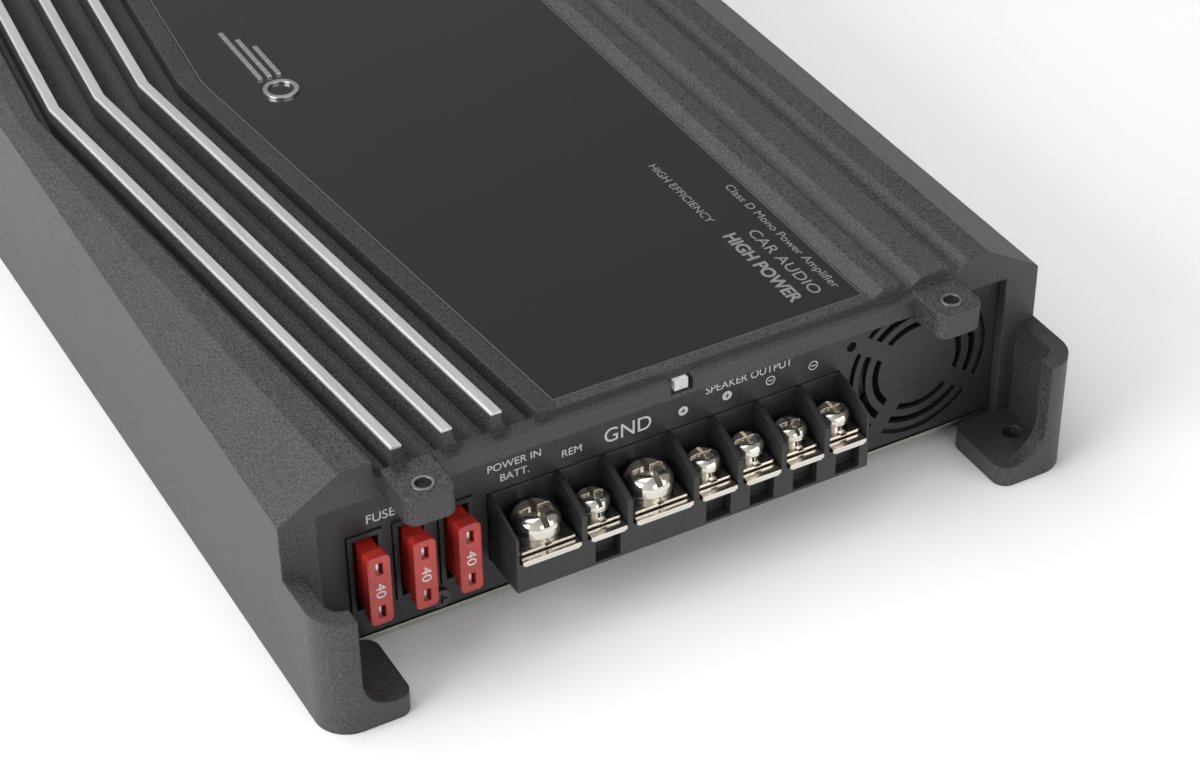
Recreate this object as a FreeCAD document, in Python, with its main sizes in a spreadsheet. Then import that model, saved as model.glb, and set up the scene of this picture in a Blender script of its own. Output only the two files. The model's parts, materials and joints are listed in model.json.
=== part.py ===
import FreeCAD
import Part
import Sketcher

import math
import os

# Car power amplifier: a ribbed aluminium heatsink chassis, a glossy top panel, a fused
# screw-terminal end with a fan, and a control end. Millimetres, Z up. The origin is at the
# centre of the footprint, on the surface that the four feet stand on. The terminal end
# faces -Y, the fuses are on the -X side of it, and the control end faces +Y.

doc = FreeCAD.newDocument("power_amplifier")
sheet = doc.addObject("Spreadsheet::Sheet", "dimensions")

DIMENSIONS = [
    # heatsink chassis
    ("half_width", 110.0), ("half_length", 186.0), ("wall_thick", 10.0),
    ("deck_under", 51.0), ("deck_floor", 56.0), ("shoulder_top", 61.7),
    ("facet_width", 16.4), ("facet_waist", 4.0), ("facet_slope", 0.607),
    ("shoulder_in", 25.6), ("waist_shift", 17.4), ("rib_top", 63.6),
    ("rib_width", 3.1), ("rib_pitch", 13.4), ("rib_first", 79.7), ("trim_thick", 0.8),
    # glossy panel and its frame
    ("panel_left", 33.9), ("panel_right", 56.6), ("panel_top", 59.0), ("panel_thick", 2.0),
    ("panel_end_gap", 3.5), ("frame_top", 61.2), ("frame_width", 7.1),
    ("band_start", 60.5), ("groove_start", 66.0), ("groove_wide", 3.0), ("groove_depth", 2.3),
    ("step_start", 80.8), ("step_wide", 3.2), ("step_depth", 3.1), ("step_flare", 2.6),
    # feet
    ("foot_reach", 22.0), ("foot_tall", 35.5), ("foot_wall", 5.0), ("foot_base", 6.0),
    ("foot_wide", 23.0), ("foot_corner", 9.0), ("foot_hole_dia", 5.5),
    ("foot_hole_side", 99.5), ("foot_hole_reach", 9.0),
    # lugs with threaded inserts
    ("lug_side", 75.6), ("lug_wide", 13.6), ("lug_reach", 14.5), ("lug_axis", 8.8),
    ("lug_top", 58.2), ("lug_tall", 7.5), ("lug_corner", 3.4), ("insert_dia", 5.8), ("insert_bore", 4.2),
    # fascia over the terminal end
    ("fascia_reach", 3.0), ("fascia_top", 57.5),
    # end panels
    ("end_recess", 3.0), ("end_thick", 1.5), ("end_bottom", 6.5),
    # terminal block
    ("block_left", 53.2), ("block_right", 50.0), ("block_reach", 12.0),
    ("block_bottom", 16.0), ("block_front_top", 33.0), ("block_rear_top", 37.0),
    ("bay_floor", 24.9), ("bay_wide", 19.2), ("bay_narrow", 13.0), ("bay_wall", 1.6),
    ("screw_reach", 4.2), ("big_head_dia", 13.0), ("small_head_dia", 9.0),
    ("big_head_tall", 5.3), ("small_head_tall", 3.3), ("big_shank_dia", 5.0), ("small_shank_dia", 3.5),
    ("clamp_thick", 1.2), ("plate_thick", 1.2),
    # fuses
    ("fuse_first", 87.0), ("fuse_pitch", 12.35), ("fuse_height", 21.4), ("fuse_thick", 6.1),
    ("fuse_depth", 12.0), ("fuse_middle", 26.4), ("fuse_reach", 5.2), ("fuse_corner", 1.5),
    ("blade_wide", 5.2), ("blade_thick", 0.8), ("blade_long", 7.0),
    # fan
    ("fan_side", 75.0), ("fan_middle", 30.2), ("fan_size", 45.0), ("fan_deep", 12.0),
    ("fan_blade_dia", 41.0), ("fan_hub_dia", 20.0), ("grille_spoke", 5.0),
    # bottom cover and circuit board
    ("cover_thick", 1.5), ("cover_level", 4.0), ("board_level", 9.5), ("board_thick", 1.6),
    ("boss_dia", 8.0), ("cover_screw_dia", 2.9),
    # control end
    ("knob_dia", 9.0), ("knob_long", 9.0), ("jack_dia", 8.4), ("control_level", 27.0),
]

for row, (alias, value) in enumerate(DIMENSIONS, start=1):
    sheet.set("A%d" % row, alias)
    sheet.set("B%d" % row, str(value))
    sheet.setAlias("B%d" % row, alias)
doc.recompute()


def dim(alias):
    return float(sheet.get(alias))


def cell(text):
    """Put the sheet's name before each alias of an expression."""
    words = sorted((alias for alias, _ in DIMENSIONS), key=len, reverse=True)
    out = ""
    place = 0
    while place < len(text):
        found = next((w for w in words if text.startswith(w, place)), None)
        if found:
            out += "dimensions." + found
            place += len(found)
        else:
            out += text[place]
            place += 1
    return out


def bind(thing, **sizes):
    for name, text in sizes.items():
        thing.setExpression(name.replace("_at_", "Placement.Base."), cell(str(text)))
    return thing


def box(name, x, y, z, length, width, height):
    thing = doc.addObject("Part::Box", name)
    return bind(thing, Length=length, Width=width, Height=height, _at_x=x, _at_y=y, _at_z=z)


TURNS = {
    "z": FreeCAD.Rotation(),
    "y": FreeCAD.Rotation(FreeCAD.Vector(1, 0, 0), -90),
    "x": FreeCAD.Rotation(FreeCAD.Vector(0, 1, 0), 90),
}


def rod(name, x, y, z, radius, height, along="z"):
    """A cylinder that starts at x, y, z and runs along a positive axis."""
    thing = doc.addObject("Part::Cylinder", name)
    thing.Placement.Rotation = TURNS[along]
    return bind(thing, Radius=radius, Height=height, _at_x=x, _at_y=y, _at_z=z)


def fuse(name, *pieces):
    if len(pieces) == 1:
        return pieces[0]
    thing = doc.addObject("Part::MultiFuse", name)
    thing.Shapes = list(pieces)
    return thing


def cut(name, base, *tools):
    thing = doc.addObject("Part::Cut", name)
    thing.Base = base
    thing.Tool = fuse(name + "_tools", *tools)
    return thing


def mirror(name, source, normal):
    thing = doc.addObject("Part::Mirroring", name)
    thing.Source = source
    thing.Normal = FreeCAD.Vector(*normal)
    return thing


def group(name, *pieces):
    thing = doc.addObject("Part::Compound", name)
    thing.Links = list(pieces)
    return thing


def outline(name, points, rotation=FreeCAD.Rotation()):
    """A closed sketch of straight lines and arcs. A point of two pairs is an arc:
    the pair it passes through and the pair it ends on."""
    sketch = doc.addObject("Sketcher::SketchObject", name)
    sketch.Placement.Rotation = rotation
    start = points[-1][-1] if isinstance(points[-1][0], tuple) else points[-1]
    for point in points:
        if isinstance(point[0], tuple):
            through, end = point
            arc = Part.Arc(*[FreeCAD.Vector(a, b, 0) for a, b in (start, through, end)])
            sketch.addGeometry(arc)
        else:
            end = point
            sketch.addGeometry(Part.LineSegment(FreeCAD.Vector(*start, 0), FreeCAD.Vector(*end, 0)))
        start = end
    return sketch


UPRIGHT = FreeCAD.Rotation(FreeCAD.Vector(1, 0, 0), 90)


def prism(name, sketch, direction, length):
    """A sketch extruded along a direction by a length from the sheet."""
    thing = doc.addObject("Part::Extrusion", name)
    thing.Base = sketch
    thing.DirMode = "Custom"
    thing.Dir = FreeCAD.Vector(*direction)
    thing.Solid = True
    return bind(thing, LengthFwd=length)


def pad_body(label, plane, corners, thickness, offset, windows=(), holes=()):
    """A sheet part: a PartDesign body with one padded sketch and its openings.
    corners, windows: x, y, width, height texts; holes: x, y, diameter texts."""
    body = doc.addObject("PartDesign::Body", label)
    base = next(f for f in body.Origin.OriginFeatures if f.Role == plane)
    sketch = body.newObject("Sketcher::SketchObject", label + "_sketch")
    sketch.AttachmentSupport = [(base, "")]
    sketch.MapMode = "FlatFace"
    for x, y, width, height in [corners] + list(windows):
        first = sketch.GeometryCount
        for line in range(4):
            ends = [(0, 0), (1, 0), (1, 1), (0, 1), (0, 0)][line:line + 2]
            a, b = [FreeCAD.Vector(p * 10, q * 10, 0) for p, q in ends]
            sketch.addGeometry(Part.LineSegment(a, b))
        for line in range(4):
            sketch.addConstraint(
                Sketcher.Constraint("Coincident", first + line, 2, first + (line + 1) % 4, 1))
        sketch.addConstraint(Sketcher.Constraint("Horizontal", first))
        sketch.addConstraint(Sketcher.Constraint("Vertical", first + 1))
        sketch.addConstraint(Sketcher.Constraint("Horizontal", first + 2))
        sketch.addConstraint(Sketcher.Constraint("Vertical", first + 3))
        for kind, line, value in (("DistanceX", first, width), ("DistanceY", first + 1, height)):
            index = sketch.addConstraint(Sketcher.Constraint(kind, line, 1, line, 2, 10.0))
            sketch.setExpression("Constraints[%d]" % index, cell(value))
        for kind, value in (("DistanceX", x), ("DistanceY", y)):
            index = sketch.addConstraint(Sketcher.Constraint(kind, -1, 1, first, 1, 1.0))
            sketch.setExpression("Constraints[%d]" % index, cell(value))
    for x, y, diameter in holes:
        ring = sketch.addGeometry(
            Part.Circle(FreeCAD.Vector(1, 1, 0), FreeCAD.Vector(0, 0, 1), 1))
        index = sketch.addConstraint(Sketcher.Constraint("Diameter", ring, 2.0))
        sketch.setExpression("Constraints[%d]" % index, cell(diameter))
        for kind, value in (("DistanceX", x), ("DistanceY", y)):
            index = sketch.addConstraint(Sketcher.Constraint(kind, -1, 1, ring, 3, 1.0))
            sketch.setExpression("Constraints[%d]" % index, cell(value))
    pad = body.newObject("PartDesign::Pad", label + "_pad")
    pad.Profile = sketch
    pad.setExpression("Length", cell(thickness))
    axis = {"XY_Plane": "z", "XZ_Plane": "y"}[plane]
    body.setExpression("Placement.Base." + axis, cell(offset))
    doc.recompute()
    return body


NODES = {}


def node(label, thing):
    thing.Label = label
    NODES[label] = thing
    return thing


# ---------------------------------------------------------------- heatsink chassis

def rib_lefts(shift):
    return [-dim("rib_first") + dim("rib_pitch") * i - shift for i in range(3)]


def valley(x_from, x_to, top):
    """A short drop, a hollow sweep down to the floor, and a narrow floor."""
    floor = dim("deck_floor")
    drop = top - 1.5
    sweep_end = x_to - 1.5
    middle = (x_from + (sweep_end - x_from) * 0.30, floor + (drop - floor) * 0.27)
    return [(x_from, drop), (middle, (sweep_end, floor)), (x_to, floor)]


def section_points(y_share):
    """The chassis section; y_share is 0 at the ends and 1 at the waist."""
    w = dim("half_width")
    top = dim("shoulder_top")
    shift = dim("waist_shift") * y_share
    facet = dim("facet_width") + (dim("facet_waist") - dim("facet_width")) * y_share
    slope = dim("facet_slope")
    inner = -w + dim("shoulder_in") - shift * 0.93
    points = [(-w, 0.0), (-w, top - slope * facet), (-w + facet, top), (inner, top)]
    start = inner
    for left in rib_lefts(shift):
        points += valley(start, left, top if start == inner else dim("rib_top"))
        points += [(left, dim("rib_top")), (left + dim("rib_width"), dim("rib_top"))]
        start = left + dim("rib_width")
    frame = -dim("panel_left") - dim("frame_width") - shift
    points += valley(start, frame, dim("rib_top"))
    panel_l = -dim("panel_left") - 0.25 - shift
    panel_r = dim("panel_right") + 0.25
    lip = dim("panel_top") + 0.5
    floor = dim("panel_top") - dim("panel_thick")
    points += [(frame, dim("frame_top")), (panel_l - 1.0, lip), (panel_l, lip - 0.3)]
    points += [(panel_l, floor), (panel_r, floor), (panel_r, lip - 0.3), (panel_r + 0.8, lip)]
    band = dim("frame_top")
    groove = dim("groove_start")
    groove_low = band - dim("groove_depth")
    points += [(dim("band_start"), band), (groove, band), (groove, groove_low)]
    points += [(groove + dim("groove_wide"), groove_low), (groove + 2 * dim("groove_wide"), band)]
    step = dim("step_start")
    step_low = top - dim("step_depth")
    points += [(step, top), (step, step_low), (step + dim("step_wide"), step_low)]
    points += [(step + dim("step_wide") + dim("step_flare"), top)]
    points += [(w - dim("facet_width"), top), (w, top - slope * dim("facet_width")), (w, 0.0)]
    inside = w - dim("wall_thick")
    points += [(inside, 0.0), (inside, dim("deck_under"))]
    points += [(-inside, dim("deck_under")), (-inside, 0.0)]
    return points


def section(name, y, y_share):
    sketch = outline(name, section_points(y_share), UPRIGHT)
    sketch.Placement.Base.y = y
    return sketch


half_long = dim("half_length")
front_section = section("section_terminal_end", -half_long, 0.0)
waist_section = section("section_waist", 0.0, 1.0)
front_section.setExpression("Placement.Base.y", cell("-half_length"))
half_chassis = doc.addObject("Part::Loft", "half_chassis")
half_chassis.Sections = [front_section, waist_section]
half_chassis.Solid = True
half_chassis.Ruled = True

# One foot, drawn at the terminal end on the fuse side.
W = dim("half_width")
FOOT_Y = -half_long - dim("foot_reach")
CORNER = dim("foot_corner")
WALL = dim("foot_wall")


def arc_point(cx, cy, radius, degrees):
    turn = math.radians(degrees)
    return (cx + radius * math.cos(turn), cy + radius * math.sin(turn))


corner_c = (-W + CORNER, FOOT_Y + CORNER)
foot_ring = [
    (-W, -half_long), (-W, corner_c[1]),
    (arc_point(*corner_c, CORNER, 225), (corner_c[0], FOOT_Y)),
    (corner_c[0] + 0.6, FOOT_Y), (corner_c[0] + 0.6, FOOT_Y + WALL),
    (corner_c[0], FOOT_Y + WALL),
    (arc_point(*corner_c, CORNER - WALL, 225), (-W + WALL, corner_c[1])),
    (-W + WALL, -half_long),
]
foot_wall = prism("foot_wall_piece", outline("foot_wall_plan", foot_ring), (0, 0, 1), "foot_tall")
web_x = corner_c[0] + 0.6
web_r = 9.0
web_low = dim("foot_base")
web_points = [
    (web_x, 0.0), (web_x, web_low + web_r),
    ((web_x + web_r * 0.293, web_low + web_r * 0.293), (web_x + web_r, web_low)),
    (web_x + web_r, 0.0),
]
foot_web = prism("foot_web_piece", outline("foot_web_plan", web_points, UPRIGHT), (0, 1, 0),
                 "foot_wall")
foot_web.Placement.Base.y = FOOT_Y
pad_in = -W + dim("foot_wide")
pad_r = 4.0
pad_points = [
    (corner_c[0], FOOT_Y), (pad_in - pad_r, FOOT_Y),
    (arc_point(pad_in - pad_r, FOOT_Y + pad_r, pad_r, -45), (pad_in, FOOT_Y + pad_r)),
    (pad_in, -half_long + 2 - pad_r),
    (arc_point(pad_in - pad_r, -half_long + 2 - pad_r, pad_r, 45), (pad_in - pad_r, -half_long + 2)),
    (corner_c[0], -half_long + 2),
]
foot_pad = prism("foot_pad", outline("foot_pad_plan", pad_points), (0, 0, 1), "foot_base")
foot_floor = box("foot_floor", "-half_width + foot_wall * 0.9",
                 "-half_length - foot_reach + foot_wall * 0.9", 0, "foot_corner",
                 "foot_reach - foot_wall * 0.9 + 2", "foot_base")
foot_solid = fuse("foot_solid", foot_wall, foot_web, foot_pad, foot_floor)
foot_hole = rod("foot_hole", "-foot_hole_side", "-half_length - foot_hole_reach", -1,
                "foot_hole_dia / 2", "foot_base + 2")
foot_a = cut("foot_a", foot_solid, foot_hole)
foot_b = mirror("foot_b", foot_a, (1, 0, 0))

LUG_LEFT = -dim("lug_side") - dim("lug_wide") / 2
LUG_RIGHT = -dim("lug_side") + dim("lug_wide") / 2
LUG_FRONT = -half_long - dim("lug_reach")
lug_r = dim("lug_corner")
lug_plan = [
    (LUG_LEFT, -half_long + 1.0), (LUG_LEFT, LUG_FRONT + lug_r),
    (arc_point(LUG_LEFT + lug_r, LUG_FRONT + lug_r, lug_r, 225), (LUG_LEFT + lug_r, LUG_FRONT)),
    (LUG_RIGHT - lug_r, LUG_FRONT),
    (arc_point(LUG_RIGHT - lug_r, LUG_FRONT + lug_r, lug_r, 315), (LUG_RIGHT, LUG_FRONT + lug_r)),
    (LUG_RIGHT, -half_long + 1.0),
]
lug_solid = prism("lug_solid", outline("lug_plan", lug_plan), (0, 0, 1), "lug_tall")
bind(lug_solid, _at_z="lug_top - lug_tall")
lug_bore = rod("lug_bore", "-lug_side", "-half_length - lug_axis", "lug_top - lug_tall - 1",
               "insert_dia / 2 + 0.02", "lug_tall + 2")
lug_a = cut("lug_a", lug_solid, lug_bore)
lug_b = mirror("lug_b", lug_a, (1, 0, 0))

fascia = box("fascia", "-lug_side + 5", "-half_length - fascia_reach", "deck_under + 1",
             "lug_side * 2 - 10", "fascia_reach + 2", "fascia_top - deck_under - 1")

half_all = fuse("half_all", half_chassis, foot_a, foot_b, lug_a, lug_b, fascia)
other_half = mirror("other_half", half_all, (0, 1, 0))

boss_spots = [(sx * 94.0, sy * 150.0) for sx in (-1, 1) for sy in (-1, 0, 1)]
bosses = []
for i, (x, y) in enumerate(boss_spots):
    bosses.append(box("boss_%d" % i, x - 4 if x > 0 else x - 6.5, y - 4, "cover_level + cover_thick",
                      10.5, 8, "12"))
chassis_raw = fuse("chassis_raw", half_all, other_half, *bosses)
boss_bores = [rod("boss_bore_%d" % i, x, y, 0, "cover_screw_dia / 2 + 0.05", "15")
              for i, (x, y) in enumerate(boss_spots)]
fan_relief = box("fan_relief", "fan_side - fan_size / 2 - 0.6", "-half_length + end_recess - 0.2",
                 "deck_under - 1", "fan_size + 1.2", "fan_deep + end_thick + 1.0",
                 "fan_middle + fan_size / 2 + 0.5 - deck_under + 1")
led_notch = box("led_notch", -4.2, "-half_length - fascia_reach - 1", "deck_under + 2.4",
                6.4, "fascia_reach + 0.2", "fascia_top - deck_under - 1.4")
chassis = cut("chassis_body", chassis_raw, *boss_bores, fan_relief, led_notch)
end_bars = []
for side, y in (("a", "-half_length"), ("b", "half_length - panel_end_gap + 0.25")):
    end_bars.append(box("panel_bar_" + side, "-panel_left - 3", y, "deck_floor",
                        "panel_left + panel_right + 6", "panel_end_gap - 0.25",
                        "panel_top + 0.3 - deck_floor"))
node("heatsink_chassis", fuse("chassis_whole", chassis, *end_bars))

# Bright strips that cap the three ribs.
for i in range(3):
    wires = []
    for tag, y, share in (("front", -half_long, 0.0), ("waist", 0.0, 1.0), ("rear", half_long, 0.0)):
        left = rib_lefts(dim("waist_shift") * share)[i] + 0.05
        right = left + dim("rib_width") - 0.1
        low = dim("rib_top")
        high = low + dim("trim_thick")
        corners = [(left, low), (right, low), (right, high - 0.2), (left + 0.4, high), (left, high - 0.3)]
        sketch = outline("trim_%d_%s" % (i, tag), corners, UPRIGHT)
        sketch.Placement.Base.y = y
        wires.append(sketch)
    trim = doc.addObject("Part::Loft", "rib_trim_loft_%d" % i)
    trim.Sections = wires
    trim.Solid = True
    trim.Ruled = True
    node("rib_trim_%d" % (i + 1), trim)

# Glossy top panel, waisted on its ribbed side, with a raised badge.
end_y = half_long - dim("panel_end_gap")
share = end_y / half_long
edge_end = -dim("panel_left") - dim("waist_shift") * (1 - share)
edge_mid = -dim("panel_left") - dim("waist_shift")
plan = [(edge_end, -end_y), (dim("panel_right"), -end_y), (dim("panel_right"), end_y),
        (edge_end, end_y), (edge_mid, 0.0)]
top_panel = prism("top_panel_plate", outline("top_panel_plan", plan), (0, 0, 1), "panel_thick")
bind(top_panel, _at_z="panel_top - panel_thick")
node("top_panel", top_panel)

badge_ring = cut("badge_ring", rod("badge_out", -33, -15, "panel_top", 5.2, 0.8),
                 rod("badge_in", -33, -15, "panel_top - 1", 3.8, 4))
badge_bars = [box("badge_bar_%d" % i, -36.6 + 2.9 * i, -7, "panel_top", 1.4, 30 - 6 * i, 0.7)
              for i in range(3)]
node("badge", group("badge_group", badge_ring, *badge_bars))

# Threaded inserts in the lugs.
insert_list = []
for i, (sx, sy) in enumerate(((-1, -1), (1, -1), (-1, 1), (1, 1))):
    x = "%d * lug_side" % sx
    y = "%d * (half_length + lug_axis)" % sy
    sleeve = rod("insert_sleeve_%d" % i, x, y, "lug_top - lug_tall", "insert_dia / 2", "lug_tall + 0.2")
    bore = rod("insert_bore_%d" % i, x, y, "lug_top - lug_tall - 1", "insert_bore / 2", "lug_tall + 3")
    insert_list.append(cut("insert_%d" % i, sleeve, bore))
node("lug_inserts", group("insert_group", *insert_list))

light_pipe = box("light_pipe_bar", -3.0, "-half_length - fascia_reach + 0.6", "deck_under + 2.9",
                 4.0, "fascia_reach - 1.45", "fascia_top - deck_under - 3.5")
node("light_pipe", light_pipe)

# ---------------------------------------------------------------- end panels

PANEL_X = "-half_width + wall_thick + 0.3"
PANEL_W = "2 * (half_width - wall_thick) - 0.6"
PANEL_H = "deck_under - 0.3 - end_bottom"
FUSE_X = ["-fuse_first + %d * fuse_pitch" % i for i in range(3)]
holder_windows = [("%s - fuse_thick / 2 - 1.9" % x, "fuse_middle - fuse_height / 2 - 1.9",
                   "fuse_thick + 3.8", "fuse_height + 3.8") for x in FUSE_X]
block_window = ("-block_left - 0.3", "block_bottom - 0.3", "block_left + block_right + 0.6",
                "block_rear_top - block_bottom + 0.6")
front_plate = pad_body(
    "front_plate", "XZ_Plane", (PANEL_X, "end_bottom", PANEL_W, PANEL_H), "end_thick",
    "-half_length + end_recess + end_thick", holder_windows + [block_window],
    [("-67.8", "10.2", "3.4"), ("56.6 - 3.0", "43.6", "3.0")])
slots = []
RINGS = ((12.4, 14.3), (16.5, 18.6), (20.4, 22.0))
for i, (small, large) in enumerate(RINGS):
    outer = rod("ring_out_%d" % i, "fan_side", "-half_length + end_recess - 1", "fan_middle",
                large, "end_thick + 2", "y")
    inner = rod("ring_in_%d" % i, "fan_side", "-half_length + end_recess - 2", "fan_middle",
                small, "end_thick + 4", "y")
    slots.append(cut("ring_%d" % i, outer, inner))
spokes = []
for i in range(2):
    bar = doc.addObject("Part::Box", "spoke_%d" % i)
    bind(bar, Width="end_thick + 6", Height="grille_spoke")
    bar.Length = 60
    turn = FreeCAD.Rotation(FreeCAD.Vector(0, 1, 0), 35 + 90 * i)
    start = turn.multVec(FreeCAD.Vector(-30, 0, -dim("grille_spoke") / 2))
    middle = FreeCAD.Vector(dim("fan_side"), -half_long + dim("end_recess") - 3, dim("fan_middle"))
    bar.Placement = FreeCAD.Placement(middle + start, turn)
    spokes.append(bar)
grille = cut("grille_slots", fuse("grille_rings", *slots), *spokes)
node("front_panel", cut("front_panel_cut", front_plate, grille))

REAR_HOLES = [("-75", "control_level", "jack_dia + 0.4"), ("-57", "control_level", "jack_dia + 0.4"),
              ("-75", "control_level + 14", "jack_dia + 0.4"),
              ("-57", "control_level + 14", "jack_dia + 0.4"),
              ("-25", "control_level", "7.4"), ("0", "control_level", "7.4"), ("25", "control_level", "7.4"),
              ("-90", "12.0", "3.4"), ("90", "12.0", "3.4")]
SWITCH_X = (46.0, 62.0)
switch_windows = [("%g - 3.6" % x, "control_level - 1.9", "7.2", "3.8") for x in SWITCH_X]
socket_window = ("76 - 5.3", "control_level - 4.3", "10.6", "8.6")
rear_plate = pad_body(
    "rear_plate", "XZ_Plane", (PANEL_X, "end_bottom", PANEL_W, PANEL_H), "end_thick",
    "half_length - end_recess", switch_windows + [socket_window], REAR_HOLES)
node("rear_panel", rear_plate)


def screw_along_y(name, x, y_head, z, facing, shank, head, long):
    """A pan-head screw; facing is -1 when its head looks towards -Y."""
    low = y_head if facing < 0 else "%s - 1.4" % y_head
    cap = rod(name + "_head", x, low, z, head / 2.0, 1.4, "y")
    reach = "%s + 1.4" % y_head if facing < 0 else "%s - 1.4 - %g" % (y_head, long)
    stem = rod(name + "_shank", x, reach, z, shank / 2.0, long, "y")
    depth = low + (" - 0.7" if facing < 0 else " + 0.7")
    bar = box(name + "_bar", "%s - 1.5" % x, depth, "%s - 0.35" % z, 3.0, 1.4, 0.7)
    cross = box(name + "_cross", "%s - 0.35" % x, depth, "%s - 1.5" % z, 0.7, 1.4, 3.0)
    return cut(name, fuse(name + "_solid", cap, stem), bar, cross)


node("front_panel_screw",
     screw_along_y("front_screw", "-67.8", "-half_length + end_recess - 1.42", "10.2", -1, 2.9, 5.4, 8.0))
rear_screws = [screw_along_y("rear_screw_%d" % i, x, "half_length - end_recess + 1.42", "12.0", 1,
                             2.9, 6.0, 8.0)
               for i, x in enumerate(("-90", "90"))]
node("rear_panel_screws", group("rear_screw_group", *rear_screws))

# ---------------------------------------------------------------- bottom cover

cover = pad_body(
    "cover_plate", "XY_Plane",
    (PANEL_X, "-half_length + end_recess", PANEL_W, "2 * (half_length - end_recess)"),
    "cover_thick", "cover_level", [],
    [("%g" % x, "%g" % y, "3.4") for x, y in boss_spots])
node("bottom_cover", cover)
cover_screws = []
for i, (x, y) in enumerate(boss_spots):
    head = rod("cover_head_%d" % i, x, y, "cover_level - 1.42", 2.9, 1.4)
    stem = rod("cover_stem_%d" % i, x, y, "cover_level - 0.1", "cover_screw_dia / 2", 10)
    slot = box("cover_slot_%d" % i, x - 1.4, y - 0.3, "cover_level - 2", 2.8, 0.6, 1.2)
    cover_screws.append(cut("cover_screw_%d" % i, fuse("cover_solid_%d" % i, head, stem), slot))
node("bottom_cover_screws", group("cover_screw_group", *cover_screws))

# ---------------------------------------------------------------- terminal block

FRONT_Y = "-half_length - block_reach"
BLOCK_BACK = 10.0
profile = [
    (-half_long - dim("block_reach"), dim("block_bottom")),
    (-half_long - dim("block_reach"), dim("block_front_top")),
    (-half_long - 1.0, dim("block_rear_top")),
    (-half_long + BLOCK_BACK, dim("block_rear_top")),
    (-half_long + BLOCK_BACK, dim("block_bottom")),
]
SIDE_ON = FreeCAD.Rotation(FreeCAD.Vector(1, 1, 1), 120)
block_bar = prism("block_bar", outline("block_side", profile, SIDE_ON), (1, 0, 0),
                  "block_left + block_right")
bind(block_bar, _at_x="-block_left")

BAYS = ["bay_wide", "bay_narrow", "bay_wide"] + ["bay_narrow"] * 4
BAY_NAMES = ["battery", "remote", "ground", "speaker_1", "speaker_2", "speaker_3", "speaker_4"]
BIG = [True, False, True, False, False, False, False]
bay_tools = []
bay_centres = []
left_text = "-block_left"
for i, size in enumerate(BAYS):
    bay_centres.append("%s + %s / 2" % (left_text, size))
    bay_tools.append(box("bay_%d" % i, "%s + bay_wall / 2" % left_text, FRONT_Y + " - 1", "bay_floor",
                         "%s - bay_wall" % size, "block_reach + 3.8", 20))
    if not BIG[i]:
        bay_tools.append(box("wire_way_%d" % i, "%s - 3.6" % bay_centres[i], FRONT_Y + " - 1",
                             "block_bottom + 0.8", 7.2, 4.5, "bay_floor - block_bottom - 1.4"))
    bay_tools.append(rod("nut_way_%d" % i, bay_centres[i], "-half_length - screw_reach",
                         "bay_floor - 6.5",
                         "%s / 2 + 0.2" % ("big_shank_dia" if BIG[i] else "small_shank_dia"), 12))
    left_text = "%s + %s" % (left_text, size)
node("terminal_block", cut("block_cut", block_bar, *bay_tools))

plates = []
for i in range(7):
    shank = "big_shank_dia" if BIG[i] else "small_shank_dia"
    half = 8.2 if BIG[i] else 5.1
    flat = box("plate_flat_%d" % i, "%s - %g" % (bay_centres[i], half), FRONT_Y + " - 0.9",
               "bay_floor", 2 * half, "block_reach - 0.3", "plate_thick")
    lip = box("plate_lip_%d" % i, "%s - %g" % (bay_centres[i], half - 0.6), FRONT_Y + " - 0.9",
              "bay_floor - 0.4", 2 * half - 1.2, 0.85, "plate_thick + 0.4")
    bore = rod("plate_bore_%d" % i, bay_centres[i], "-half_length - screw_reach", "bay_floor - 2",
               "%s / 2 + 0.05" % shank, 6)
    plates.append(cut("plate_%d" % i, fuse("plate_solid_%d" % i, flat, lip), bore))
node("terminal_plates", group("plate_group", *plates))

SCREW_Y = "-half_length - screw_reach"


def pan_head(name, x, y, z, radius, tall):
    """A screw head with an upright rim and a rounded crown."""
    points = [(0.0, 0.0), (radius - 0.3, 0.0), (radius, 0.3), (radius, tall * 0.42),
              ((radius * 0.86, tall * 0.78), (radius * 0.45, tall)), (0.0, tall)]
    sketch = outline(name + "_profile", points, UPRIGHT)
    bind(sketch, _at_x=x, _at_y=y, _at_z=z)
    head = doc.addObject("Part::Revolution", name)
    head.Source = sketch
    head.Axis = FreeCAD.Vector(0, 0, 1)
    head.setExpression("Base.x", cell(x))
    head.setExpression("Base.y", cell(y))
    head.Angle = 360
    head.Solid = True
    return head


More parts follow.
